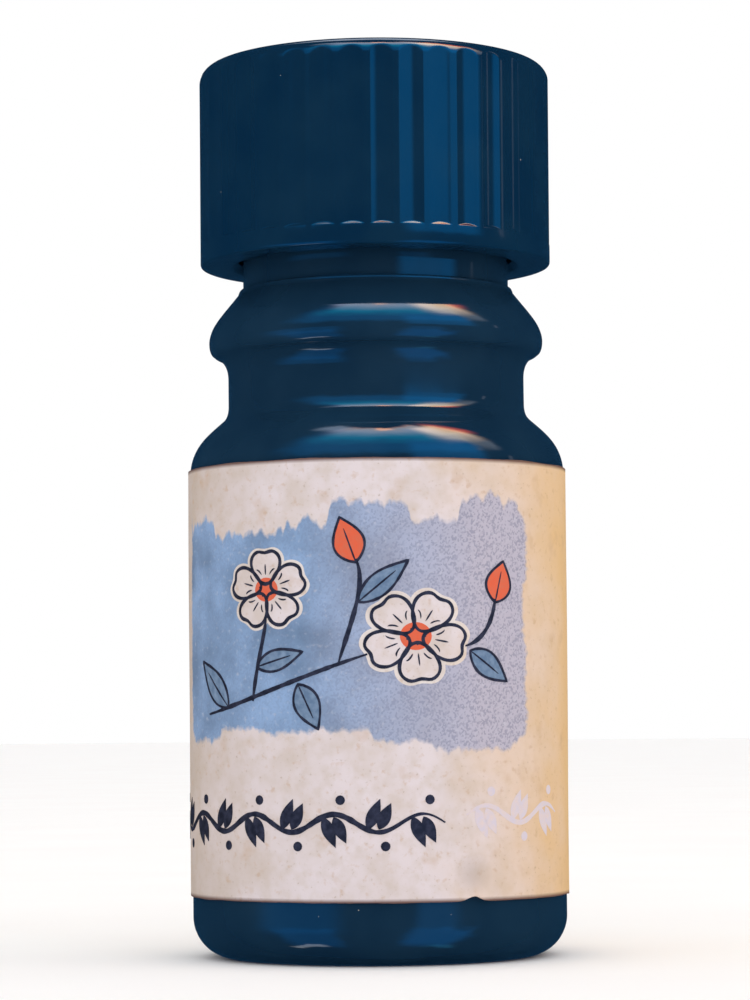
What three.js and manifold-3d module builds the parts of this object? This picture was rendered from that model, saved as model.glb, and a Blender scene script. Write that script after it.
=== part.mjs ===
// A small dark glass bottle with a fluted screw cap and a paper label wrapped round its body.
// Millimetres, +Z up. The origin is the middle of the base, and the middle of the label faces -Y.
import * as THREE from "three";
import { mergeVertices } from "three/addons/utils/BufferGeometryUtils.js";
import Module from "manifold-3d";

const wasm = await Module();
wasm.setup();

// Driving dimensions of the bottle
const BODY_RADIUS = 10.85;
const HEEL_RADIUS = 2.3;
const PUNT_RADIUS = 7.0;
const PUNT_DEPTH = 0.6;
const SHOULDER_START = 28.0;
const SHOULDER_END = 31.1;
const WAIST_RADIUS = 8.6;
const WAIST_TOP = 33.6;
const BEAD_RADIUS = 9.7;
const BEAD_HEIGHT = 35.75;
const NECK_FOOT_RADIUS = 7.98;
const NECK_FOOT_HEIGHT = 38.55;
const NECK_RADIUS = 7.7;
const NECK_TOP = 49.3;
const LIP_CHAMFER = 0.4;

// Driving dimensions of the cap
const CAP_RADIUS = 10.2;
const CAP_BOTTOM = 40.16;
const CAP_TOP = 51.8;
const CAP_EDGE_RADIUS = 0.95;
const CAP_RIM_ROUNDING = 0.2;
const CAP_CLEARANCE = 0.3;
const CAP_LEAD_IN = 0.35;
const FLUTE_COUNT = 38;
const FLUTE_WIDTH = 1.44;
const FLUTE_CUTTER_RADIUS = 2.4;
const FLUTE_NOSE_RADIUS = 0.4;
const FLUTE_CUTTER_BOTTOM = 41.08;
const FLUTE_FIRST_ANGLE = THREE.MathUtils.degToRad(2.4);

// Driving dimensions of the label
const LABEL_GAP = 0.04;
const LABEL_THICKNESS = 0.12;
const LABEL_BOTTOM = 3.6;
const LABEL_TOP = 28.2;

// How finely the round surfaces are divided. The glass and the label share their facets.
const BOTTLE_SEGMENTS = 60;
const LABEL_SEGMENTS = 56;
const CAP_SEGMENTS = 2 * FLUTE_COUNT;
const CUTTER_SEGMENTS = 48;
const CURVE_STEPS = 5;

// Turns a profile of radius and height about the bottle's axis. Angle 0 faces -Y.
function turned(profile, segments) {
  const geometry = new THREE.LatheGeometry(profile.getPoints(CURVE_STEPS), segments);
  return geometry.rotateX(Math.PI / 2);
}

// The same surface as an indexed mesh of positions only, without the slivers at the axis.
function welded(geometry) {
  const source = geometry.clone();
  source.deleteAttribute("normal");
  source.deleteAttribute("uv");
  const merged = mergeVertices(source, 1e-5);
  const kept = [];
  for (let i = 0; i < merged.index.count; i += 3) {
    const corners = [0, 1, 2].map((k) => merged.index.getX(i + k));
    if (new Set(corners).size === 3) kept.push(...corners);
  }
  merged.setIndex(kept);
  return merged;
}

// A closed surface as a solid that can be cut.
function solidOf(geometry) {
  const surface = welded(geometry);
  const vertProperties = new Float32Array(surface.attributes.position.array);
  const triVerts = new Uint32Array(surface.index.array);
  return new wasm.Manifold(new wasm.Mesh({ numProp: 3, vertProperties, triVerts }));
}

// A cut solid as a surface again.
function geometryOf(solid) {
  const mesh = solid.getMesh();
  const geometry = new THREE.BufferGeometry();
  geometry.setAttribute("position", new THREE.BufferAttribute(mesh.vertProperties, 3));
  geometry.setIndex(new THREE.BufferAttribute(mesh.triVerts, 1));
  return geometry;
}

function named(name, geometry, colour, roughness) {
  const material = new THREE.MeshStandardMaterial({ color: colour, roughness, metalness: 0 });
  const mesh = new THREE.Mesh(geometry, material);
  mesh.name = name;
  return mesh;
}

// The base: a shallow hollow under the middle, the flat ring it stands on, and the rounded heel.
function addBase(profile) {
  profile.moveTo(0, PUNT_DEPTH);
  profile.quadraticCurveTo(PUNT_RADIUS * 0.6, PUNT_DEPTH, PUNT_RADIUS, 0);
  profile.lineTo(BODY_RADIUS - HEEL_RADIUS, 0);
  profile.absarc(BODY_RADIUS - HEEL_RADIUS, HEEL_RADIUS, HEEL_RADIUS, -Math.PI / 2, 0, false);
}

// The shoulder rounds in from the straight body and ends in a tight inner corner at the waist.
function addShoulder(profile) {
  profile.lineTo(BODY_RADIUS, SHOULDER_START);
  profile.bezierCurveTo(
    BODY_RADIUS, SHOULDER_START + 1.6,
    WAIST_RADIUS + 1.25, SHOULDER_END - 0.8,
    WAIST_RADIUS + 0.35, SHOULDER_END,
  );
  profile.quadraticCurveTo(WAIST_RADIUS, SHOULDER_END + 0.35, WAIST_RADIUS, SHOULDER_END + 0.95);
}

// The waist sweeps out under the bead, which is full below and slopes back above to the neck.
function addBead(profile) {
  profile.lineTo(WAIST_RADIUS, WAIST_TOP);
  profile.quadraticCurveTo(WAIST_RADIUS, WAIST_TOP + 1.0, BEAD_RADIUS - 0.45, BEAD_HEIGHT - 0.9);
  profile.quadraticCurveTo(BEAD_RADIUS, BEAD_HEIGHT - 0.75, BEAD_RADIUS, BEAD_HEIGHT);
  profile.bezierCurveTo(
    BEAD_RADIUS, BEAD_HEIGHT + 0.85,
    BEAD_RADIUS - 0.65, BEAD_HEIGHT + 1.45,
    NECK_FOOT_RADIUS, NECK_FOOT_HEIGHT,
  );
}

// The neck starts with a fine ledge and runs up inside the cap to a flat lip.
function addNeck(profile) {
  profile.lineTo(NECK_FOOT_RADIUS, NECK_FOOT_HEIGHT + 0.17);
  profile.lineTo(NECK_RADIUS, NECK_FOOT_HEIGHT + 0.25);
  profile.lineTo(NECK_RADIUS, NECK_TOP - LIP_CHAMFER);
  profile.lineTo(NECK_RADIUS - LIP_CHAMFER, NECK_TOP);
  profile.lineTo(0, NECK_TOP);
}

function bottle() {
  const profile = new THREE.Path();
  addBase(profile);
  addShoulder(profile);
  addBead(profile);
  addNeck(profile);
  return named("bottle_glass", turned(profile, BOTTLE_SEGMENTS), 0x0b1a2a, 0.06);
}

// The cap before its flutes are cut: a plain socket inside, and a rounded top edge outside.
function capBlank() {
  const bore = NECK_RADIUS + CAP_CLEARANCE;
  const ceiling = NECK_TOP + CAP_CLEARANCE;
  const rim = CAP_RADIUS - CAP_RIM_ROUNDING;
  const edge = CAP_RADIUS - CAP_EDGE_RADIUS;
  const profile = new THREE.Path();
  profile.moveTo(0, ceiling);
  profile.lineTo(bore, ceiling);
  profile.lineTo(bore, CAP_BOTTOM + CAP_LEAD_IN);
  profile.lineTo(bore + CAP_LEAD_IN, CAP_BOTTOM);
  profile.lineTo(rim, CAP_BOTTOM);
  profile.quadraticCurveTo(CAP_RADIUS, CAP_BOTTOM, CAP_RADIUS, CAP_BOTTOM + CAP_RIM_ROUNDING);
  profile.lineTo(CAP_RADIUS, CAP_TOP - CAP_EDGE_RADIUS);
  profile.absarc(edge, CAP_TOP - CAP_EDGE_RADIUS, CAP_EDGE_RADIUS, 0, Math.PI / 2, false);
  profile.lineTo(0, CAP_TOP);
  return solidOf(turned(profile, CAP_SEGMENTS));
}

// The cutters of the flutes: wide upright rods that graze the wall. They are bullnosed below, and
// stand clear of the cap above, so each shallow flute runs out through the rounded top edge.
function fluteCutters() {
  const standOff = Math.sqrt(FLUTE_CUTTER_RADIUS ** 2 - (FLUTE_WIDTH / 2) ** 2);
  const reach = CAP_RADIUS + standOff;
  const nose = FLUTE_CUTTER_RADIUS - FLUTE_NOSE_RADIUS;
  const profile = new THREE.Path();
  profile.moveTo(0, FLUTE_CUTTER_BOTTOM);
  profile.lineTo(nose, FLUTE_CUTTER_BOTTOM);
  profile.absarc(nose, FLUTE_CUTTER_BOTTOM + FLUTE_NOSE_RADIUS, FLUTE_NOSE_RADIUS, -Math.PI / 2, 0, false);
  profile.lineTo(FLUTE_CUTTER_RADIUS, CAP_TOP + 1);
  profile.lineTo(0, CAP_TOP + 1);
  const rod = turned(profile, CUTTER_SEGMENTS);
  const cutters = [];
  for (let i = 0; i < FLUTE_COUNT; i += 1) {
    const angle = (i * 2 * Math.PI) / FLUTE_COUNT;
    cutters.push(solidOf(rod.clone().translate(0, -reach, 0).rotateZ(angle)));
  }
  return wasm.Manifold.union(cutters);
}

// A corner of the blank lies in the middle of every flute and of every ridge between two flutes.
function cap() {
  const geometry = geometryOf(capBlank().subtract(fluteCutters()));
  return named("screw_cap", geometry.rotateZ(FLUTE_FIRST_ANGLE), 0x0a1826, 0.28);
}

// The label's outline from above: two arcs with the glass's facets, open at the back.
function labelOutline() {
  const step = (2 * Math.PI) / BOTTLE_SEGMENTS;
  const inner = BODY_RADIUS + LABEL_GAP;
  const outer = inner + LABEL_THICKNESS;
  const arc = (radius) => Array.from({ length: LABEL_SEGMENTS + 1 }, (_, i) => {
    const angle = (i - LABEL_SEGMENTS / 2) * step;
    return new THREE.Vector2(radius * Math.sin(angle), -radius * Math.cos(angle));
  });
  return new THREE.Shape([...arc(outer), ...arc(inner).reverse()]);
}

function label() {
  const settings = { depth: LABEL_TOP - LABEL_BOTTOM, bevelEnabled: false };
  const mesh = named("paper_label", new THREE.ExtrudeGeometry(labelOutline(), settings), 0xd6c6bb, 0.8);
  mesh.position.z = LABEL_BOTTOM;
  return mesh;
}

const part = new THREE.Group();
part.add(bottle(), cap(), label());

export default part;
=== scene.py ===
"""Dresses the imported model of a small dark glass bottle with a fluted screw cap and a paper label."""

import cmath
import logging
import math
import random
from collections import Counter
from collections.abc import Callable, Sequence
from dataclasses import dataclass, field
from enum import Enum
from functools import partial

import bpy
from mathutils import Matrix, Vector, noise


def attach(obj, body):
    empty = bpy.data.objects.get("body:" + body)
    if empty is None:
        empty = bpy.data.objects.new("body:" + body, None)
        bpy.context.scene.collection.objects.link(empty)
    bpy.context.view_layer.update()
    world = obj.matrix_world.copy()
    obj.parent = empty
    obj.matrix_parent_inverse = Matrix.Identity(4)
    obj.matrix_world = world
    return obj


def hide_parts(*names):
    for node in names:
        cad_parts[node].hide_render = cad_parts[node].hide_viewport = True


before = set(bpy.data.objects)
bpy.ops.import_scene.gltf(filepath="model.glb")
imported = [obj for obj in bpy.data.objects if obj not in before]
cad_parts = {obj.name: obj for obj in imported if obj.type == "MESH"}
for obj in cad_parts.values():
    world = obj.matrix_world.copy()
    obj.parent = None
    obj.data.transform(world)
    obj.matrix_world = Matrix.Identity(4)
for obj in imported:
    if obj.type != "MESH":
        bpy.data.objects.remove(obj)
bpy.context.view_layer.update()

LOG = logging.getLogger("bottle")
MM = 0.001
BODY = "root"

Point = tuple[float, float]
Colour = tuple[float, float, float, float]
Faces = list[tuple[int, ...]]
Material = bpy.types.Material
Socket = bpy.types.NodeSocket
Adder = Callable[..., Socket]


def linear(code: str, alpha: float = 1.0) -> Colour:
    """Turns an sRGB hex code into a linear colour.

    Args:
        code: The colour, such as "#d9603f".
        alpha: The fourth value.

    Returns:
        Red, green, blue and alpha.
    """
    parts = [int(code[i : i + 2], 16) / 255 for i in (1, 3, 5)]
    red, green, blue = (p / 12.92 if p <= 0.04045 else ((p + 0.055) / 1.055) ** 2.4 for p in parts)
    return (red, green, blue, alpha)


def add_node(
    tree: bpy.types.NodeTree,
    kind: str,
    links: dict | None = None,
    output: int | str = 0,
    stops: Sequence[tuple[float, str]] = (),
    **settings: object,
) -> Socket:
    """Adds one shader node with its settings and links.

    Args:
        tree: The material's node tree.
        kind: Blender's name for the node type, without the ShaderNode before it.
        links: What each input gets, by its name or number: a socket to link, or a plain value.
        output: Which output to return.
        stops: The places and hex colours of a colour ramp's two ends.
        settings: The node's own properties.

    Returns:
        The chosen output socket.
    """
    node = tree.nodes.new(f"ShaderNode{kind}")
    for name, value in settings.items():
        setattr(node, name, value)
    for key, value in (links or {}).items():
        if isinstance(value, bpy.types.NodeSocket):
            tree.links.new(value, node.inputs[key])
        else:
            node.inputs[key].default_value = value
    for number, (place, code) in enumerate(stops):
        element = node.color_ramp.elements[number]
        element.position = place
        element.color = linear(code)
    return node.outputs[output] if node.outputs else None


def new_material(name: str) -> tuple[Material, Adder]:
    """Makes an empty node material.

    Args:
        name: What the finish is.

    Returns:
        The material, and add_node for its tree.
    """
    material = bpy.data.materials.new(name)
    material.use_nodes = True
    material.node_tree.nodes.clear()
    return material, partial(add_node, material.node_tree)


def surface(add: Adder, links: dict) -> None:
    """Ends a material with a Principled surface that has these inputs."""
    add("OutputMaterial", {"Surface": add("BsdfPrincipled", links)})


def bezier(points: Sequence[Point], steps: int) -> list[Point]:
    """Points along a Bezier curve of any degree, without its first point.

    Args:
        points: The control points.
        steps: How many points to give.

    Returns:
        The points, ending with the last control point.
    """
    degree = len(points) - 1
    curve = []
    for i in range(1, steps + 1):
        t = i / steps
        weights = [math.comb(degree, k) * (1 - t) ** (degree - k) * t**k for k in range(degree + 1)]
        curve.append(tuple(sum(w * p[axis] for w, p in zip(weights, points)) for axis in (0, 1)))
    return curve


def arc(centre: Point, radius: float, start: float, end: float, steps: int) -> list[Point]:
    """Points along a round arc from start to end, in degrees, with both ends."""
    angles = [math.radians(start + (end - start) * i / steps) for i in range(steps + 1)]
    return [(centre[0] + radius * math.cos(a), centre[1] + radius * math.sin(a)) for a in angles]


def evenly(points: Sequence[Point], longest: float) -> list[Point]:
    """Splits the long steps of a profile.

    Args:
        points: The profile.
        longest: The longest step that stays.

    Returns:
        The profile with no longer step.
    """
    split = [points[0]]
    for start, end in zip(points, points[1:]):
        count = max(1, math.ceil(math.dist(start, end) / longest))
        split += [tuple(a + (b - a) * i / count for a, b in zip(start, end)) for i in range(1, count + 1)]
    return split


def angles_round(count: int) -> list[float]:
    """Evenly spaced directions round a circle, in radians."""
    return [2 * math.pi * i / count for i in range(count)]


def round_axis(angle: float, radius: float, height: float) -> Vector:
    """The point at a direction round the axis, in radians, a radius and a height. Direction 0 faces -Y."""
    return Vector((radius * math.sin(angle), -radius * math.cos(angle), height))


def smooth_steps(start: float, end: float, x: float) -> float:
    """Rises smoothly from 0 at start to 1 at end."""
    t = min(1.0, max(0.0, (x - start) / (end - start)))
    return t * t * (3 - 2 * t)


def add_piece(
    name: str,
    points: Sequence[Vector],
    faces: Faces,
    material: Material,
    crease: float = 38.0,
) -> bpy.types.Object:
    """Makes a smooth-shaded mesh piece that rides on the body.

    Args:
        name: The piece's name.
        points: Its vertices, in metres.
        faces: Its faces.
        material: Its finish.
        crease: Edges that turn by more than this, in degrees, stay sharp.

    Returns:
        The new object.
    """
    mesh = bpy.data.meshes.new(name)
    mesh.from_pydata(points, [], faces)
    mesh.validate()
    mesh.shade_smooth()
    mesh.set_sharp_from_angle(angle=math.radians(crease))
    mesh.materials.append(material)
    piece = bpy.data.objects.new(name, mesh)
    bpy.context.collection.objects.link(piece)
    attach(piece, BODY)
    LOG.info("%s: %d faces", name, len(mesh.polygons))
    return piece


def turned(
    profile: Sequence[Point],
    angles: Sequence[float],
    relief: Callable[[float, float, float], Point],
) -> tuple[list[Vector], Faces]:
    """Turns a profile about the bottle's axis. It starts and ends on the axis.

    Args:
        profile: Radius and height, in millimetres.
        angles: The directions round the axis, in radians.
        relief: Gives a point's shift outward and upward, in millimetres, from its angle, radius and height.

    Returns:
        The vertices, in metres, and the faces.
    """
    count = len(angles)
    points = [Vector((0.0, 0.0, profile[0][1] * MM))]
    for radius, height in profile[1:-1]:
        for angle in angles:
            outward, upward = relief(angle, radius, height)
            points.append(round_axis(angle, (radius + outward) * MM, (height + upward) * MM))
    points.append(Vector((0.0, 0.0, profile[-1][1] * MM)))
    last = len(points) - 1
    faces = [(0, 1 + (i + 1) % count, 1 + i) for i in range(count)]
    for ring in range(len(profile) - 3):
        low = 1 + ring * count
        high = low + count
        faces += [(low + i, low + (i + 1) % count, high + (i + 1) % count, high + i) for i in range(count)]
    top = last - count
    faces += [(last, top + i, top + (i + 1) % count) for i in range(count)]
    return points, faces


def both_sides(faces: Faces, count: int) -> Faces:
    """Closes a thin sheet. The points of its hidden side follow those of the one that shows.

    Args:
        faces: The faces of the side that shows.
        count: How many points each side has.

    Returns:
        The faces of both sides and of the cut edges.
    """
    hidden = [tuple(count + i for i in reversed(face)) for face in faces]
    sides = [edge for face in faces for edge in zip(face, (*face[1:], face[0]))]
    used = Counter(tuple(sorted(edge)) for edge in sides)
    rim = [(b, a, count + a, count + b) for a, b in sides if used[tuple(sorted((a, b)))] == 1]
    return [*faces, *hidden, *rim]


@dataclass(frozen=True)
class CloudedFinish:
    """A surface whose colour and gloss vary in soft clouds, over a fine relief.

    The clouds and the relief have a size in millimetres and a detail, and the bump a strength and a height.
    """

    name: str
    shades: tuple[str, str]
    roughness: Point
    cloud: Point
    relief: Point
    bump: Point
    optics: tuple[str, float]
    shade_levels: Point = (0.35, 0.7)
    gloss_levels: Point = (0.35, 0.75)

    def material(self) -> Material:
        """Builds the finish.

        Returns:
            The material.
        """
        made, add = new_material(self.name)
        place = add("TexCoord", output="Object")
        patch, wave = (
            add("TexNoise", {"Vector": place, "Scale": 1 / (size * MM), "Detail": detail})
            for size, detail in (self.cloud, self.relief)
        )
        tint = add("ValToRGB", {"Fac": patch}, stops=tuple(zip(self.shade_levels, self.shades)))
        span = dict(enumerate((*self.gloss_levels, *self.roughness), 1))
        rough = add("MapRange", {"Value": patch, **span})
        strength, height = self.bump
        bump = add("Bump", {"Height": wave, "Strength": strength, "Distance": height * MM})
        surface(add, {"Base Color": tint, "Roughness": rough, "Normal": bump, self.optics[0]: self.optics[1]})
        return made


# Cobalt-black glass, too dark to see through. Skin and dust dull its gloss in soft patches, and its wavy
# walls break up long highlights.
DARK_GLASS = CloudedFinish(
    name="dark_moulded_glass",
    shades=("#10293f", "#163147"),
    roughness=(0.04, 0.14),
    cloud=(5.0, 3.0),
    relief=(3.4, 1.5),
    bump=(0.6, 0.03),
    optics=("IOR", 1.52),
    gloss_levels=(0.42, 0.75),
)
# Black urea: glossy, with a fine tooling grain that softens the edges of reflections.
CAP_PLASTIC = CloudedFinish(
    name="black_moulded_plastic",
    shades=("#062640", "#0b2c44"),
    roughness=(0.07, 0.13),
    cloud=(4.0, 4.0),
    relief=(0.12, 2.0),
    bump=(0.2, 0.006),
    optics=("IOR", 1.55),
)


@dataclass(frozen=True)
class PrintInk(CloudedFinish):
    """Pigment ink on uncoated paper: matt, and thinner where the paper's tooth shows through."""

    roughness: Point = (0.5, 0.75)
    cloud: Point = (0.35, 4.0)
    relief: Point = (0.35, 4.0)
    bump: Point = (0.2, 0.01)
    optics: tuple[str, float] = ("Specular IOR Level", 0.3)
    shade_levels: Point = (0.38, 0.72)
    gloss_levels: Point = (0.0, 1.0)


@dataclass(frozen=True)
class BrushedEdge:
    """One edge of the brushed panel. Sizes in millimetres."""

    place: float
    inward: int
    sway: float
    seed: float


@dataclass
class AgedPaper:
    """Uncoated label paper, tea-stained: matt mottled cream, tan at the sides, with a brushed blue panel. The
    side tan is partly painted light: painted shade on the left side and painted warm light on the right.
    """

    label: "PaperLabel"
    name: str = "aged_label_paper"
    washed: bool = True
    light: str = "#dcd2d6"
    mottle: str = "#cabcb3"
    left_tan_and_shade: str = "#b5a28d"
    right_tan_and_warm_light: str = "#dcb681"
    back_tan: str = "#cbb18e"
    stain: str = "#be9a76"
    fox: str = "#957960"
    nick_grey: str = "#aea3a2"
    nick_grey_place: Point = (5.4, 5.1)
    # The brown of the painted shade along the label's cut edges.
    rim: str = "#5d3a30"
    wash_blue: str = "#6480a2"
    wash_pale: str = "#88a7d0"
    wash_grey: str = "#b6b2c3"
    wash_grain: str = "#566080"
    wash_bare: str = "#c6c9d6"
    wash_corner: float = 1.6
    wash_low: BrushedEdge = BrushedEdge(12.5, 1, 1.7, 3.0)
    wash_high: BrushedEdge = BrushedEdge(25.4, -1, 3.4, 17.0)
    wash_left: BrushedEdge = BrushedEdge(-14.6, 1, 0.2, 31.0)
    wash_right: BrushedEdge = BrushedEdge(9.5, -1, 0.5, 47.0)

    def __post_init__(self) -> None:
        """Starts the material and unrolls the label: the way round and the height, in millimetres."""
        self.made, self.add = new_material(self.name)
        spot = self.add("TexCoord", output="Object")
        x, y, z = (self.add("SeparateXYZ", {0: spot}, output=axis) for axis in "XYZ")
        front = self.add("Math", {0: y, 1: -1.0}, operation="MULTIPLY")
        turn = self.add("Math", {0: x, 1: front}, operation="ARCTAN2")
        self.way = self.add("Math", {0: turn, 1: self.label.radius}, operation="MULTIPLY")
        self.height = self.add("Math", {0: z, 1: 1 / MM}, operation="MULTIPLY")
        self.both = self.add("CombineXYZ", {"X": self.way, "Y": self.height})

    def spots(self, size: float, low: float, high: float, most: float) -> Socket:
        """Scatters soft spots of a size, in millimetres, that rise to most between two levels of noise."""
        cloud = self.add("TexNoise", {"Vector": self.both, "Scale": 1 / size, "Detail": 4.0})
        return self.add("MapRange", {"Value": cloud, 1: low, 2: high, 4: most})

    def coated(self, colour: Socket | Colour, coats: Sequence[tuple[Socket, Socket | str]]) -> Socket:
        """Lays coats of colour over one another.

        Args:
            colour: What lies under them.
            coats: The strength and the colour of each, the lowest first.

        Returns:
            The colour with every coat.
        """
        for strength, coat in coats:
            links = {"Factor": strength, 6: colour, 7: linear(coat) if isinstance(coat, str) else coat}
            colour = self.add("Mix", links, output=2, data_type="RGBA")
        return colour

    def cream(self) -> Socket:
        """Paints the bare paper.

        Returns:
            The paper's colour.
        """
        # The tan creeps in from both sides of the front, in uneven clouds. It is partly tea stain and partly
        # painted light: painted shade darkens the left side, and painted warm light warms the right side.
        links = {0: self.way, 1: self.spots(5.0, 0.0, 1.0, 9.0)}
        moved = self.add("Math", links, operation="ADD")
        aside = self.add("Math", {0: moved}, operation="ABSOLUTE")
        # A soft grey patch just above the nick in the lower edge.
        links = {0: self.both, 1: (*self.nick_grey_place, 0.0)}
        apart = self.add("VectorMath", links, output=1, operation="DISTANCE")
        coats = [
            (self.spots(3.2, 0.42, 0.72, 0.75), self.mottle),
            (self.spots(0.8, 0.45, 0.75, 0.5), self.mottle),
            # Tan stain mixed with painted warm light on the right side.
            (self.add("MapRange", {"Value": moved, 1: 7.5, 2: 19.5}), self.right_tan_and_warm_light),
            # Tan stain mixed with painted shade on the left side.
            (self.add("MapRange", {"Value": moved, 1: -1.0, 2: -14.0, 4: 0.85}), self.left_tan_and_shade),
            (self.add("MapRange", {"Value": aside, 1: 18.0, 2: 33.0, 4: 0.85}), self.back_tan),
            (self.spots(1.9, 0.6, 0.74, 0.38), self.stain),
            (self.spots(0.5, 0.6, 0.72, 0.4), self.stain),
            (self.spots(0.2, 0.64, 0.74, 0.4), self.fox),
            (self.add("MapRange", {"Value": apart, 1: 1.3, 2: 0.3, 4: 0.42}), self.nick_grey),
        ]
        return self.coated(linear(self.light), coats)

    def depth(self, along: Socket, across: Socket, edge: BrushedEdge) -> Socket:
        """Measures how far inside one edge of the panel a place lies. Each brush mark ends on its own.

        Args:
            along: The place along the edge, in millimetres.
            across: The place across the edge, in millimetres.
            edge: The edge.

        Returns:
            The distance in millimetres, below 0 outside.
        """
        shifted = self.add("Math", {0: along, 1: edge.seed}, operation="ADD")
        # Brush marks about 3 mm wide, then the bristles in them.
        settings = {"W": shifted, "Scale": 1 / 3.0, "Smoothness": 0.3}
        shape = {"voronoi_dimensions": "1D", "feature": "SMOOTH_F1"}
        mark = self.add("TexVoronoi", settings, output="Color", **shape)
        settings = {"W": shifted, "Scale": 1 / 0.9, "Detail": 2.0}
        bristle = self.add("TexNoise", settings, noise_dimensions="1D")
        for source, sway in ((mark, edge.sway), (bristle, 0.15 + 0.2 * edge.sway)):
            reach = self.add("MapRange", {"Value": source, 1: 0.2, 2: 0.8, 3: -sway / 2, 4: sway / 2})
            across = self.add("Math", {0: across, 1: reach}, operation="ADD")
        links = {0: across, 1: self.spots(0.35, 0.25, 0.75, 0.26)}
        across = self.add("Math", links, operation="ADD")
        links = {0: across, 1: edge.inward, 2: -edge.place * edge.inward}
        return self.add("Math", links, operation="MULTIPLY_ADD")

    def washes(self, paper: Socket) -> Socket:
        """Brushes the blue panel over the paper.

        Args:
            paper: The bare paper's colour.

        Returns:
            The colour with the panel on it.
        """
        corner = self.wash_corner
        nearness = []
        for along, across, edges in (
            (self.way, self.height, (self.wash_low, self.wash_high)),
            (self.height, self.way, (self.wash_left, self.wash_right)),
        ):
            depths = [self.depth(along, across, edge) for edge in edges]
            least = self.add("Math", dict(enumerate(depths)), operation="MINIMUM")
            links = {"Value": least, 1: corner, 2: -10.0, 4: corner + 10.0}
            nearness.append(self.add("MapRange", links))
        # The panel's corners are round, with the radius where both edges are equally near.
        joined = self.add("CombineXYZ", dict(enumerate(nearness)))
        apart = self.add("VectorMath", {0: joined}, output=1, operation="LENGTH")
        mask = self.add("MapRange", {"Value": apart, 1: corner, 2: corner - 0.28, 4: 0.96})
        # The pigment pools unevenly, and turns grey and grainy to the right, where the brush ran dry.
        dry = self.add("MapRange", {"Value": self.way, 1: -4.5, 2: 6.0})
        rate = self.add("MapRange", {"Value": dry, 3: 0.14, 4: 0.4})
        settings = {"Vector": self.both, "Scale": 1 / 0.1}
        speck = self.add("TexVoronoi", settings, output="Color", voronoi_dimensions="2D")
        grain = self.add("MapRange", {"Value": speck, 1: 0.5, 2: 0.72})
        grain = self.add("Math", {0: grain, 1: rate}, operation="MULTIPLY")
        coats = [
            (self.spots(4.0, 0.36, 0.62, 1.0), self.wash_pale),
            (dry, self.wash_grey),
            (self.spots(0.31, 0.58, 0.76, 0.4), self.wash_bare),
            (grain, self.wash_grain),
        ]
        return self.coated(paper, [(mask, self.coated(linear(self.wash_blue), coats))])

    def material(self) -> Material:
        """Builds the finish.

        Returns:
            The material.
        """
        colour = self.cream()
        if self.washed:
            colour = self.washes(colour)
        # Painted shade browns the cut edges, where the paper's edge lies in shadow.
        for edge, inward in ((self.label.bottom, 1), (self.label.top, -1)):
            start, end = edge + 0.04 * inward, edge + 0.24 * inward
            edge_shade = self.add("MapRange", {"Value": self.height, 1: start, 2: end, 3: 0.9, 4: 0.0})
            colour = self.coated(colour, [(edge_shade, self.rim)])
        # Paper tooth: felt marks about 0.25 mm apart.
        tooth = self.add("TexNoise", {"Vector": self.both, "Scale": 1 / 0.25, "Detail": 5.0})
        bump = self.add("Bump", {"Height": tooth, "Strength": 0.4, "Distance": 0.02 * MM})
        dull = self.add("MapRange", {"Value": tooth, 3: 0.66, 4: 0.86})
        links = {"Base Color": colour, "Roughness": dull, "Normal": bump, "Specular IOR Level": 0.2}
        surface(self.add, links)
        return self.made


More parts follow.
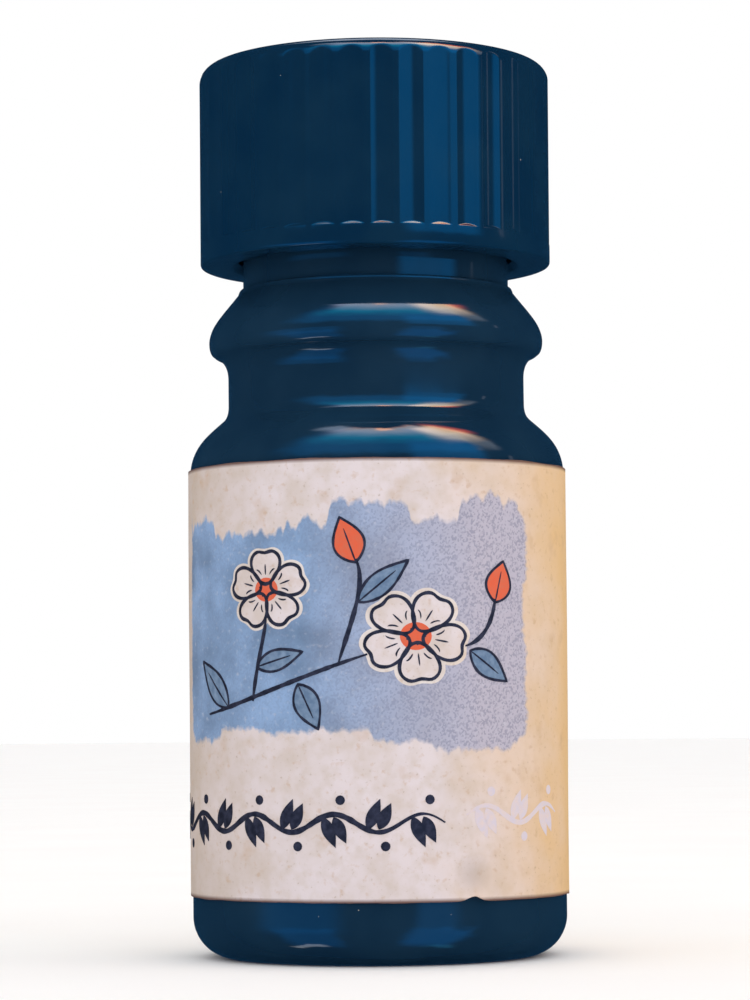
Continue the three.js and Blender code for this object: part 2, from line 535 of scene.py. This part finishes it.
@dataclass(frozen=True)
class Bottle:
    """The moulded glass: heel, body, shoulder, waist, bead and neck. Sizes in millimetres."""

    body_radius: float = 10.85
    heel_radius: float = 2.3
    punt_radius: float = 7.0
    punt_depth: float = 0.6
    shoulder_start: float = 28.0
    shoulder_end: float = 31.1
    waist_radius: float = 8.6
    waist_top: float = 33.6
    bead_radius: float = 9.7
    bead_height: float = 35.75
    neck_foot_radius: float = 7.98
    neck_foot_height: float = 38.55
    neck_radius: float = 7.7
    neck_top: float = 49.3
    lip_chamfer: float = 0.4
    directions: int = 360
    knurls: int = 60

    def profile(self) -> list[Point]:
        """Draws the outline from the middle of the base to the middle of the neck's lip.

        Returns:
            Radius and height of each point.
        """
        waist, bead, high = self.waist_radius, self.bead_radius, self.bead_height
        heel = self.body_radius - self.heel_radius
        outline = [(0.0, self.punt_depth)]
        outline += bezier([outline[-1], (self.punt_radius * 0.6, self.punt_depth), (self.punt_radius, 0)], 14)
        outline += arc((heel, self.heel_radius), self.heel_radius, -90, 0, 18)
        start = (self.body_radius, self.shoulder_start)
        end = (waist + 0.35, self.shoulder_end)
        outline.append(start)
        outline += bezier([start, (start[0], start[1] + 1.6), (waist + 1.25, end[1] - 0.8), end], 26)
        outline += bezier([end, (waist, end[1] + 0.35), (waist, end[1] + 0.95)], 8)
        low = (waist, self.waist_top)
        lip = (bead - 0.45, high - 0.9)
        outline.append(low)
        outline += bezier([low, (waist, low[1] + 1.0), lip], 12)
        outline += bezier([lip, (bead, high - 0.75), (bead, high)], 10)
        foot = (self.neck_foot_radius, self.neck_foot_height)
        outline += bezier([(bead, high), (bead, high + 0.85), (bead - 0.65, high + 1.45), foot], 22)
        outline += bezier([foot, (foot[0], foot[1] + 0.2), (foot[0] - 0.08, foot[1] + 0.2)], 4)
        outline += [(self.neck_radius, foot[1] + 0.25), (self.neck_radius, self.neck_top - self.lip_chamfer)]
        outline += [(self.neck_radius - self.lip_chamfer, self.neck_top), (0.0, self.neck_top)]
        return evenly(outline, 0.8)

    def relief(self, angle: float, radius: float, height: float) -> Point:
        """Gives the marks that the mould leaves: uneven walls, two seams and a knurled standing ring.

        Args:
            angle: The direction round the axis, in radians.
            radius: The plain radius.
            height: The plain height.

        Returns:
            The shift outward and upward.
        """
        spot = round_axis(angle, radius, height) / 4.5
        uneven = 0.03 * noise.noise(spot) * smooth_steps(3.0, 8.0, radius)
        seam = 0.035 * math.exp(-((radius * math.cos(angle) / 0.12) ** 2)) if height > 1.5 else 0.0
        ring = smooth_steps(self.punt_radius - 0.1, self.punt_radius + 0.3, radius)
        ring *= 1 - smooth_steps(8.3, 8.8, radius)
        knurl = 0.07 * (0.5 + 0.5 * math.cos(self.knurls * angle)) * ring if height < 0.2 else 0.0
        return uneven + seam, knurl

    def build(self) -> None:
        """Builds and dresses the glass in place of its plain solid."""
        angles = set(angles_round(self.directions))
        near = [math.radians(step) for step in (-0.9, -0.6, -0.3, 0.3, 0.6, 0.9)]
        angles |= {math.pi * side + step for side in (0.5, 1.5) for step in near}
        points, faces = turned(self.profile(), sorted(angles), self.relief)
        glass = add_piece("glass_body", points, faces, DARK_GLASS.material())
        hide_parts("bottle_glass")


@dataclass(frozen=True)
class ScrewCap:
    """The moulded cap: a smooth rim band, and shallow flutes that run out through the rounded top edge.

    Each flute is shaped like the cut of an upright rod that grazes the wall, and a short ramp ends it below.
    """

    radius: float = 10.2
    bottom: float = 40.16
    top: float = 51.8
    edge_radius: float = 0.95
    rim_rounding: float = 0.2
    bore_radius: float = 8.0
    ceiling: float = 49.6
    lead_in: float = 0.35
    flutes: int = 38
    flute_width: float = 1.44
    cutter_radius: float = 2.4
    ramp_foot: float = 41.3
    ramp_slope: float = 0.92
    ramp_easing: float = 1.35
    first_angle: float = math.radians(2.4)
    softness: float = 0.009
    gate_radius: float = 0.7

    def profile(self) -> list[Point]:
        """Draws the outline from the socket's ceiling round the outside to the middle of the top.

        Returns:
            Radius and height of each point.
        """
        bore, low = self.bore_radius, self.bottom
        rim = (self.radius - self.rim_rounding, low)
        outline = [(0.0, self.ceiling), (bore, self.ceiling), (bore, low + self.lead_in)]
        outline += [(bore + self.lead_in, low), rim]
        outline += bezier([rim, (self.radius, low), (self.radius, low + self.rim_rounding)], 5)
        # The wall's rings are close together at the lower ends of the flutes.
        ramp = [self.ramp_foot - 0.03 + 0.018 * i for i in range(15)]
        wall = self.top - self.edge_radius - ramp[-1]
        levels = [ramp[0] - 0.3, *ramp, *(ramp[-1] + wall * i / 6 for i in range(1, 7))]
        outline += [(self.radius, height) for height in levels]
        edge = (self.radius - self.edge_radius, self.top - self.edge_radius)
        outline += arc(edge, self.edge_radius, 0, 32, 18)[1:]
        outline += arc(edge, self.edge_radius, 32, 90, 14)[1:]
        outline += [(6.0, self.top), (3.0, self.top), (1.2, self.top)]
        outline += [(self.gate_radius * share, self.top) for share in (1.1, 1.0, 0.85, 0.5)]
        outline.append((0.0, self.top - 0.1))
        return outline

    def directions(self) -> list[float]:
        """Gives the directions round the cap, close together at the rims of the flutes.

        Returns:
            The directions, in radians.
        """
        half = self.flute_width / 2
        side = [0.14, 0.28, 0.41, 0.52, 0.6, 0.66, half - 0.02, half, half + 0.02, half + 0.05, half + 0.09]
        across = [*(-x for x in reversed(side)), 0.0, *side]
        middles = [self.first_angle + turn for turn in angles_round(self.flutes)]
        return [middle + x / self.radius for middle in middles for x in across]

    def relief(self, angle: float, radius: float, height: float) -> Point:
        """Sinks the flutes into the wall and the gate mark into the top.

        Args:
            angle: The direction round the axis, in radians.
            radius: The plain radius.
            height: The plain height.

        Returns:
            The shift outward and upward.
        """
        if height >= self.top - 1e-6 and radius < 1.5:
            return 0.0, -0.1 * (1 - smooth_steps(self.gate_radius * 0.8, self.gate_radius * 1.1, radius))
        rise = height - self.ramp_foot
        if radius < self.radius - 0.4 or rise < -0.1:
            return 0.0, 0.0
        pitch = 2 * math.pi / self.flutes
        offset = (angle - self.first_angle + pitch / 2) % pitch - pitch / 2
        reach = self.radius + math.sqrt(self.cutter_radius**2 - (self.flute_width / 2) ** 2)
        aside = reach * math.sin(offset)
        depth = radius - reach * math.cos(offset) + math.sqrt(max(0.0, self.cutter_radius**2 - aside**2))
        if rise < 0.3:
            depth = min(depth, rise * (self.ramp_slope - self.ramp_easing * rise))
        return -(depth + math.hypot(depth, 2 * self.softness)) / 2, 0.0

    def build(self) -> None:
        """Builds and dresses the cap in place of its plain solid."""
        points, faces = turned(self.profile(), self.directions(), self.relief)
        cap = add_piece("fluted_cap", points, faces, CAP_PLASTIC.material())
        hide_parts("screw_cap")


@dataclass(frozen=True)
class PaperLabel:
    """The paper sheet wrapped round the body. A place on it is the way from the front and the height."""

    radius: float = 11.01
    thickness: float = 0.12
    bottom: float = 3.6
    top: float = 28.2
    half_wrap: float = math.radians(168)
    columns: int = 340
    rows: int = 72
    nick_way: float = 5.3
    nick_half: float = 0.85

    def lift(self, way: float, height: float) -> float:
        """How far the printed face stands off its plain radius.

        Args:
            way: The way round, in millimetres.
            height: The height.

        Returns:
            The lift, in millimetres.
        """
        cockle = 0.02 * noise.noise(Vector((way / 5, height / 6, 2.0)))
        end = self.half_wrap * self.radius - abs(way)
        corner = min(height - self.bottom, self.top - height)
        curl = 0.3 * math.exp(-end / 0.7) * math.exp(-max(0.0, corner) / 2.5)
        near = math.exp(-(((way - self.nick_way) / self.nick_half) ** 2))
        nick = 0.3 * near * math.exp(-(height - self.bottom) / 0.35)
        return cockle + curl + nick

    def edge(self, way: float) -> Point:
        """How far the cut edges wander from straight.

        Args:
            way: The way round, in millimetres.

        Returns:
            The shift of the bottom edge and of the top one, upward.
        """
        near = math.exp(-(((way - self.nick_way) / (0.6 * self.nick_half)) ** 2))
        shifts = []
        for wave, row, nick in ((2.2, 0.0, 0.28 * near), (2.6, 5.0, 0.0)):
            wander = 0.05 * noise.noise(Vector((way / wave, row, 7.0)))
            shifts.append(wander + 0.015 * noise.noise(Vector((way / 0.3, row, 9.0))) + nick)
        return tuple(shifts)

    def at(self, way: float, height: float, above: float) -> Vector:
        """The point, in metres, at a place on the label, so many millimetres above the printed face."""
        reach = (self.radius + self.lift(way, height) + above) * MM
        return round_axis(way / self.radius, reach, height * MM)

    def build(self) -> None:
        """Builds and dresses the sheet in place of its plain solid."""
        points = []
        for above in (0.0, -self.thickness):
            for i in range(self.columns + 1):
                way = (2 * i / self.columns - 1) * self.half_wrap * self.radius
                low, high = self.edge(way)
                for j in range(self.rows + 1):
                    share = 0.5 - 0.5 * math.cos(math.pi * j / self.rows)
                    height = self.bottom + (self.top - self.bottom) * share
                    point = self.at(way, height, above)
                    point.z += (low * (1 - share) ** 6 + high * share**6) * MM
                    points.append(point)
        across = self.rows + 1
        corners = [i * across + j for i in range(self.columns) for j in range(self.rows)]
        faces = both_sides([(a, a + across, a + across + 1, a + 1) for a in corners], len(points) // 2)
        sheet = add_piece("wrapped_label", points, faces, AgedPaper(self).material())
        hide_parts("paper_label")


class Layer(Enum):
    """The layers of the print, with how far each lies above the paper, in millimetres."""

    HALO = 0.006
    FADED = 0.008
    LEAF = 0.010
    PETAL = 0.014
    CORAL = 0.018
    INK = 0.024


@dataclass
class PrintedLayer:
    """One colour of the print: flat shapes on the label, each a thin closed body."""

    label: PaperLabel
    above: float
    places: list[Point] = field(default_factory=list)
    faces: Faces = field(default_factory=list)

    def stroke(self, line: Sequence[Point], width: float, taper: float = 0.35, seed: float = 0.0) -> None:
        """Draws a pen line.

        Args:
            line: The points that it follows.
            width: Its width in the middle.
            taper: The share of the width that is left at its ends.
            seed: Picks how its width wanders.
        """
        first = len(self.places)
        line = evenly(line, 0.12)
        closed = math.dist(line[0], line[-1]) < 1e-6
        befores = [line[-2 if closed else 0], *line]
        afters = [*line[1:], line[1 if closed else -1]]
        for i, (before, (x, y), after) in enumerate(zip(befores, line, afters)):
            direction = Vector(after) - Vector(before)
            side = Vector((-direction.y, direction.x)).normalized()
            share = i / (len(line) - 1)
            swell = 1.0 if closed else taper + (1 - taper) * min(1.0, 5 * share, 5 * (1 - share))
            wander = 1 + 0.3 * noise.noise(Vector((x / 0.5, y / 0.5, seed)))
            half = side * width * swell * wander / 2
            self.places += [(x + half.x, y + half.y), (x - half.x, y - half.y)]
        last = len(self.places) - 2
        self.faces += [(a + 1, a + 3, a + 2, a) for a in range(first, last, 2)]

    def patch(self, outline: Sequence[Point], centre: Point, rings: int = 6) -> None:
        """Fills a closed outline that can be seen whole from its centre.

        Args:
            outline: Its points, anticlockwise, with no repeated end.
            centre: The point that the fill spreads from.
            rings: How many rings it has, so that it bends round the bottle.
        """
        first = len(self.places)
        count = len(outline)
        self.places.append(centre)
        for ring in range(1, rings + 1):
            share = ring / rings
            self.places += [tuple(c + (v - c) * share for c, v in zip(centre, spot)) for spot in outline]
        self.faces += [(first, first + 1 + i, first + 1 + (i + 1) % count) for i in range(count)]
        for ring in range(rings - 1):
            a = first + 1 + ring * count
            b = a + count
            self.faces += [(a + i, b + i, b + (i + 1) % count, a + (i + 1) % count) for i in range(count)]

    def build(self, name: str, material: Material) -> None:
        """Lays the layer on the label, as a piece with this name and ink."""
        points = [self.label.at(x, y, above) for above in (self.above, -0.01) for x, y in self.places]
        add_piece(name, points, both_sides(self.faces, len(self.places)), material, 30.0)


Layers = dict[Layer, PrintedLayer]


@dataclass(frozen=True)
class Blossom:
    """A mallow flower seen from the front, with five notched petals round a coral eye."""

    centre: Point
    radius: float
    turn: float
    squash: float = 0.86
    petals: int = 5

    def placed(self, along: float, across: float, heading: float) -> Point:
        """Puts a point of a petal, in shares of the flower's radius, on the label."""
        spot = complex(along, across) * cmath.rect(self.radius, heading)
        return (self.centre[0] + spot.real, self.centre[1] + self.squash * spot.imag)

    def petal(self, heading: float, grow: float = 0.0) -> list[Point]:
        """Outlines one petal.

        Args:
            heading: The petal's direction, in radians.
            grow: How far the outline stands out, as a share of the radius.

        Returns:
            The outline, anticlockwise.
        """
        outline = []
        for t in angles_round(44):
            notch = 0.08 * math.exp(-((min(t, 2 * math.pi - t) / 0.3) ** 2))
            across = (0.37 + grow) * math.sin(t) * (1 + 0.3 * math.cos(t))
            outline.append(self.placed(0.57 + (0.43 + grow) * math.cos(t) - notch, across, heading))
        return outline

    def draw(self, layers: Layers) -> None:
        """Draws the flower.

        Args:
            layers: The layers of the print.
        """
        for k, turn in enumerate(angles_round(self.petals)):
            heading = self.turn + turn
            outline = self.petal(heading)
            middle = self.placed(0.55, 0.0, heading)
            layers[Layer.HALO].patch(self.petal(heading, grow=0.1), middle)
            layers[Layer.PETAL].patch(outline, middle)
            layers[Layer.INK].stroke([*outline, outline[0]], 0.19, seed=k)
            for spread in (-0.13, 0.0, 0.13):
                start = self.placed(0.37, spread * 0.8, heading)
                bend = self.placed(0.5, spread * 1.3, heading)
                end = self.placed(0.64 - abs(spread), spread * 1.9, heading)
                layers[Layer.INK].stroke([start, *bezier([start, bend, end], 6)], 0.09, 0.2, k + spread)
        eye = [self.placed(0.3 * math.cos(t), 0.3 * math.sin(t), 0.0) for t in angles_round(28)]
        layers[Layer.CORAL].patch(eye, self.centre, 3)
        for t in angles_round(9):
            spot = self.placed(0.17 * math.cos(t), 0.17 * math.sin(t), 0.0)
            layers[Layer.INK].patch(dot(spot, 0.07), spot, 1)


@dataclass(frozen=True)
class Leaf:
    """A pointed leaf or a closed bud on the label, from its stalk to its tip."""

    base: Point
    tip: Point
    breadth: float
    layer: Layer = Layer.LEAF
    outlined: bool = True

    def outline(self) -> list[Point]:
        """Outlines the leaf, with as many points on each side.

        Returns:
            The outline, anticlockwise.
        """
        start, axis = Vector(self.base), Vector(self.tip) - Vector(self.base)
        side = Vector((-axis.y, axis.x)).normalized() * self.breadth / 2
        shares = [i / 15 for i in range(15)]
        spots = [*((t, -1) for t in shares), *((1 - t, 1) for t in shares)]
        return [tuple(start + axis * t + side * hand * math.sin(math.pi * t**0.8)) for t, hand in spots]

    def draw(self, layers: Layers) -> None:
        """Draws the leaf.

        Args:
            layers: The layers of the print.
        """
        outline = self.outline()
        base, tip = Vector(self.base), Vector(self.tip)
        layers[self.layer].patch(outline, tuple(base.lerp(tip, 0.45)), 4)
        if self.outlined:
            layers[Layer.INK].stroke([*outline, outline[0]], 0.15, seed=self.base[0])
            layers[Layer.INK].stroke([self.base, tuple(base.lerp(tip, 0.75))], 0.1, seed=self.base[1])


def dot(centre: Point, radius: float) -> list[Point]:
    """Outlines a round dot with twelve points, anticlockwise."""
    return arc(centre, radius, 0, 330, 11)


@dataclass(frozen=True)
class Vine:
    """A border on the label: a waved stem with two leaves and a berry in each bend. Millimetres."""

    start: float
    end: float
    height: float
    layer: Layer
    pitch: float = 2.5
    wave: float = 0.5
    weight: float = 0.3
    leaf: float = 1.35
    breadth: float = 0.72
    berry: float = 0.27

    def draw(self, layers: Layers) -> None:
        """Draws the border.

        Args:
            layers: The layers of the print.
        """
        ink = layers[self.layer]
        count = round((self.end - self.start) / self.pitch)
        pitch = (self.end - self.start) / count
        places = [i / 16 for i in range(count * 16 + 1)]
        stem = [(self.start + pitch * p, self.height + self.wave * math.sin(math.pi * p)) for p in places]
        ink.stroke(stem, self.weight, 0.3)
        for i in range(count):
            x = self.start + pitch * (i + 0.5)
            up = 1 if i % 2 == 0 else -1
            for foot, lean, reach in ((-0.25 * pitch, 0.1, 1.0), (0.0, 0.7, 0.82)):
                root = (x + foot, self.height + 0.7 * self.wave * up)
                tip = (x + lean, self.height - up * self.leaf * reach)
                Leaf(root, tip, self.breadth, self.layer, False).draw(layers)
            berry = (x + 0.15 * pitch, self.height + up * (self.wave + 0.78))
            ink.patch(dot(berry, self.berry), berry, 2)


STALKS = (
    [(-11.6, 14.1), (-8.0, 14.6), (-4.2, 16.2), (-0.6, 17.32)],
    [(-7.6, 14.8), (-7.4, 16.5), (-6.9, 17.8), (-6.62, 19.35)],
    [(-2.2, 16.9), (-1.4, 19.4), (-0.6, 21.2), (-1.2, 22.6)],
    [(5.0, 17.76), (6.0, 18.0), (6.8, 18.9), (7.0, 20.4)],
)
MOTIFS = (
    Leaf((-9.6, 14.48), (-12.4, 17.1), 1.5),
    Leaf((-4.6, 15.7), (-3.4, 13.2), 1.5),
    Leaf((-1.1, 20.2), (1.7, 22.5), 1.25),
    Leaf((5.3, 17.5), (7.8, 15.8), 1.4),
    Leaf((-7.3, 16.7), (-4.3, 17.5), 1.15),
    Leaf((-1.2, 22.4), (-2.1, 24.9), 1.75, Layer.CORAL),
    Leaf((7.0, 20.2), (7.6, 22.5), 1.75, Layer.CORAL),
    Blossom((-6.6, 21.0), 2.6, 0.35),
    Blossom((2.1, 18.3), 3.0, 1.05),
    Vine(-18.8, 3.7, 8.0, Layer.INK),
    Vine(5.0, 12.5, 8.4, Layer.FADED),
)


@dataclass(frozen=True)
class LabelPrint:
    """The print: a mallow spray on the blue panel, and a vine border below that fades out."""

    label: PaperLabel

    def build(self) -> None:
        """Draws every layer and lays it on the label."""
        layers = {layer: PrintedLayer(self.label, layer.value) for layer in Layer}
        for number, stalk in enumerate(STALKS):
            layers[Layer.INK].stroke([stalk[0], *bezier(stalk, 30)], 0.25, 0.4, number)
        for motif in MOTIFS:
            motif.draw(layers)
        finishes = {
            Layer.HALO: AgedPaper(self.label, "bare_halo_paper", False, light="#e0d8d6"),
            Layer.LEAF: PrintInk("slate_ink", ("#5f7896", "#7d94b0")),
            Layer.PETAL: AgedPaper(self.label, "bare_petal_paper", False),
            Layer.CORAL: PrintInk("coral_ink", ("#e0603f", "#d4694c")),
            Layer.INK: PrintInk("dark_ink", ("#1b1c2b", "#34364a")),
            Layer.FADED: PrintInk("faded_ink", ("#d2c9d6", "#dccbc9")),
        }
        for layer, sheet in layers.items():
            sheet.build(f"print_{layer.name.lower()}", finishes[layer].material())


@dataclass(frozen=True)
class Glow:
    """A soft bright patch of the room, which only reflections show.

    Each way has four angles in degrees: where the patch starts to rise, is full, starts to fall and ends.
    Its outline sways by some degrees.
    """

    azimuth: tuple[float, float, float, float]
    elevation: tuple[float, float, float, float]
    tint: str
    strength: float
    sway: float = 9.0


ROOM = (
    # The window to the right, with a narrow pale strip of frame beside it.
    Glow((16, 27, 66, 78), (6.9, 7.8, 30, 60), "#00a0ff", 1.6, 1.0),
    Glow((89, 91, 92, 94), (7.7, 8.2, 14, 17), "#b0b4c0", 1.3, 1.0),
    # What the table throws back to the undersides.
    Glow((10, 26, 52, 64), (-64, -48, -18, -6), "#0094ff", 1.6),
    Glow((18, 27, 42, 54), (-20, -9, -1, 2), "#0088e8", 1.1, 2.0),
    Glow((40, 50, 66, 78), (-64, -60, -56, -52), "#3fa8e0", 1.6),
    Glow((-76, -62, -36, -22), (-64, -48, -18, -4), "#0094ff", 1.0),
    Glow((-84, -76, -52, -42), (-60, -56, -52, -48), "#dfe8f0", 3.0),
    Glow((-88, -66, -34, -16), (-30, -8, -1, 1), "#0080d8", 1.3, 2.0),
    # The wide lamp above: blue low down, then teal and grey, and white to orange at its upper edge.
    Glow((-76, -44, 62, 78), (11, 28, 70, 76), "#00a0ff", 1.6),
    Glow((-62, -38, 70, 86), (36, 62, 77, 80), "#00dcff", 2.3),
    Glow((-66, -42, 76, 92), (55, 78, 79, 82), "#ffcbbd", 4.4, 4.0),
    Glow((-94, -80, -56, -46), (65, 72, 77, 80), "#c4d4ec", 4.0, 4.0),
    Glow((40, 66, 86, 98), (36, 62, 69, 77), "#ffd2a0", 10.0, 5.0),
    Glow((66, 76, 86, 94), (22, 34, 54, 62), "#cdd3dc", 2.0),
    Glow((-8, 4, 20, 32), (72, 77, 80, 83), "#ffa050", 8.0),
    Glow((84, 92, 98, 106), (50, 58, 70, 78), "#ff6030", 6.0, 5.0),
    # Its far side, which only ledges and top edges show.
    Glow((150, 162, 180, 181), (48, 57, 66, 76), "#dce8f8", 3.0, 2.0),
    Glow((-181, -180, -162, -150), (48, 57, 66, 76), "#dce8f8", 3.0, 2.0),
)


@dataclass(frozen=True)
class Lamp:
    """A soft lamp that faces the bottle: its place round and up in degrees, width, watts and colour."""

    name: str
    azimuth: float
    elevation: float
    size: float
    power: float
    tint: str


@dataclass(frozen=True)
class Studio:
    """A pale floor, soft light, a dim room for the gloss to show, and the camera. Sizes in metres."""

    distance: float = 0.1987
    eye_height: float = 0.0133
    focal_mm: float = 122.6
    sensor_mm: float = 36.0
    horizon_px: float = 727.0
    axis_px: float = 378.2
    frame_px: tuple[int, int] = (750, 1000)
    shift: float = 0.15
    roll_degrees: float = 0.45
    room_dim: str = "#12304a"

    def camera(self) -> None:
        """Places the camera where the photograph was taken from."""
        data = bpy.data.cameras.new("photo_camera")
        data.lens = self.focal_mm
        data.sensor_width = self.sensor_mm
        data.shift_y = self.shift
        data.clip_start = 0.01
        focal_px = self.focal_mm / self.sensor_mm * self.frame_px[1]
        rise = (self.horizon_px - self.frame_px[1] / 2 - self.shift * self.frame_px[1]) / focal_px
        aside = (self.axis_px - self.frame_px[0] / 2) / focal_px
        turn = Matrix.Rotation(math.atan(aside), 4, "Z")
        turn @= Matrix.Rotation(math.pi / 2 + math.atan(rise), 4, "X")
        turn @= Matrix.Rotation(math.radians(-self.roll_degrees), 4, "Z")
        camera = bpy.data.objects.new("photo_camera", data)
        camera.matrix_world = Matrix.Translation((0.0, -self.distance, self.eye_height)) @ turn
        bpy.context.collection.objects.link(camera)
        bpy.context.scene.camera = camera

    def hang(self, lamp: Lamp) -> None:
        """Hangs one lamp, which leaves no mirror image.

        Args:
            lamp: The lamp.
        """
        data = bpy.data.lights.new(lamp.name, "AREA")
        data.size = lamp.size
        data.energy = lamp.power
        data.color = linear(lamp.tint)[:3]
        hung = bpy.data.objects.new(lamp.name, data)
        a, e = math.radians(lamp.azimuth), math.radians(lamp.elevation)
        outward = round_axis(a, math.cos(e), math.sin(e))
        turn = outward.to_track_quat("Z", "Y").to_matrix().to_4x4()
        hung.matrix_world = Matrix.Translation(outward * 0.6 + Vector((0, 0, 0.025))) @ turn
        hung.visible_camera = hung.visible_glossy = False
        bpy.context.collection.objects.link(hung)

    def room(self, add: Adder) -> Socket:
        """Paints the dim room and its soft windows.

        Args:
            add: Adds a node to the world's tree.

        Returns:
            The room's colour in each direction.
        """
        way = add("TexCoord", output="Generated")
        x, y, z = (add("SeparateXYZ", {0: way}, output=axis) for axis in "XYZ")
        front = add("Math", {0: y, 1: -1.0}, operation="MULTIPLY")
        turn = add("Math", {0: x, 1: front}, operation="ARCTAN2")
        rise = add("Math", {0: z}, operation="ARCSINE")
        cloud = add("TexNoise", {"Vector": way, "Scale": 5.0, "Detail": 3.0})
        drift = add("MapRange", {"Value": cloud, 3: -1.0, 4: 1.0})
        colour = linear(self.room_dim)
        for glow in ROOM:
            amount = 1.0
            sway = add("Math", {0: drift, 1: glow.sway}, operation="MULTIPLY")
            for radians, (start, full, fall, end) in ((turn, glow.azimuth), (rise, glow.elevation)):
                links = {0: radians, 1: math.degrees(1), 2: sway}
                angle = add("Math", links, operation="MULTIPLY_ADD")
                for low, high in ((start, full), (end, fall)):
                    links = {"Value": angle, 1: low, 2: high}
                    side = add("MapRange", links, interpolation_type="SMOOTHSTEP")
                    amount = add("Math", {0: amount, 1: side}, operation="MULTIPLY")
            tint = [value * glow.strength for value in linear(glow.tint)]
            links = {"Factor": amount, 6: colour, 7: tint}
            colour = add("Mix", links, output=2, data_type="RGBA", blend_type="ADD")
        return colour

    def world(self) -> None:
        """Gives even light from all round and a pale backdrop, and shows the dim room in the gloss."""
        world = bpy.data.worlds.new("soft_room")
        world.use_nodes = True
        world.node_tree.nodes.clear()
        add = partial(add_node, world.node_tree)
        glossy = add("LightPath", output="Is Glossy Ray")
        seen = add("LightPath", output="Is Camera Ray")
        soft = add("Background", {"Color": linear("#fdfbf9")})
        dim = add("Background", {"Color": self.room(add)})
        pale = add("Background", {"Color": linear("#ffffff")})
        mixed = add("MixShader", {0: glossy, 1: soft, 2: dim})
        mixed = add("MixShader", {0: seen, 1: mixed, 2: pale})
        add("OutputWorld", {"Surface": mixed})
        bpy.context.scene.world = world

    def floor(self) -> None:
        """Lays the pale floor under the bottle."""
        mesh = bpy.data.meshes.new("studio_floor")
        corners = [(-3, -3, 0), (3, -3, 0), (3, 3, 0), (-3, 3, 0)]
        mesh.from_pydata(corners, [], [(0, 1, 2, 3)])
        made, add = new_material("pale_floor")
        place = add("TexCoord", output="Object")
        cloud = add("TexNoise", {"Vector": place, "Scale": 40.0})
        stops = [(0.3, "#fdfcfc"), (0.7, "#ffffff")]
        tint = add("ValToRGB", {"Fac": cloud}, stops=stops)
        surface(add, {"Base Color": tint, "Roughness": 0.9, "Specular IOR Level": 0.1})
        mesh.materials.append(made)
        floor = bpy.data.objects.new("studio_floor", mesh)
        floor.visible_glossy = False
        bpy.context.collection.objects.link(floor)

    def build(self) -> None:
        """Sets up the whole studio."""
        self.camera()
        self.world()
        self.floor()
        self.hang(Lamp("soft_front", 8, 40, 0.6, 0.42, "#ffffff"))
        self.hang(Lamp("warm_right", 70, 25, 0.3, 0.3, "#ffdcb8"))
        bpy.context.scene.view_settings.view_transform = "Standard"


@dataclass(frozen=True)
class Dust:
    """A few specks of dust on the cap and the glass: pale flattened grains."""

    count: int = 15
    smallest: float = 0.02
    largest: float = 0.042
    seed: int = 5

    def build(self, cap: ScrewCap, bottle: Bottle) -> None:
        """Scatters the grains: each has a peak, a foot and seven points round its rim.

        Args:
            cap: The cap that most lie on.
            bottle: The glass that the others lie on.
        """
        draw = random.Random(self.seed)
        points = []
        faces = []
        for i in range(self.count):
            if i % 3:
                ridge = draw.randrange(cap.flutes) + 0.5
                angle = cap.first_angle + 2 * math.pi * ridge / cap.flutes
                radius, height = cap.radius, draw.uniform(cap.bottom + 0.3, cap.top - 1.2)
            else:
                angle = draw.uniform(0, 2 * math.pi)
                radius, height = bottle.body_radius, draw.uniform(2.6, 3.3)
            outward = round_axis(angle, 1.0, 0.0)
            along = Vector((-outward.y, outward.x, 0.0))
            middle = round_axis(angle, radius, height)
            size = draw.uniform(self.smallest, self.largest)
            first = len(points)
            points += [middle + outward * size * 0.7, middle - outward * size * 0.4]
            for k, t in enumerate(angles_round(7)):
                wide = along * math.cos(t) * draw.uniform(0.7, 1.5)
                points.append(middle + (wide + Vector((0, 0, math.sin(t)))) * size)
                a, b = first + 2 + k, first + 2 + (k + 1) % 7
                faces += [(first, a, b), (first + 1, b, a)]
        points = [point * MM for point in points]
        finish = PrintInk("pale_dust", ("#b9b4ad", "#d8d3cc")).material()
        add_piece("dust_grains", points, faces, finish, crease=80.0)


def write_sizes() -> None:
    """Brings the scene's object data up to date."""
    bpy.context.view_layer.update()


def main() -> None:
    """Builds the bottle, its cap, its label and the studio."""
    logging.basicConfig(level=logging.INFO, format="%(name)s: %(message)s")
    bottle, cap, label = Bottle(), ScrewCap(), PaperLabel()
    for piece in (Studio(), bottle, cap, label, LabelPrint(label)):
        piece.build()
    Dust().build(cap, bottle)
    write_sizes()


if __name__ == "__main__":
    main()
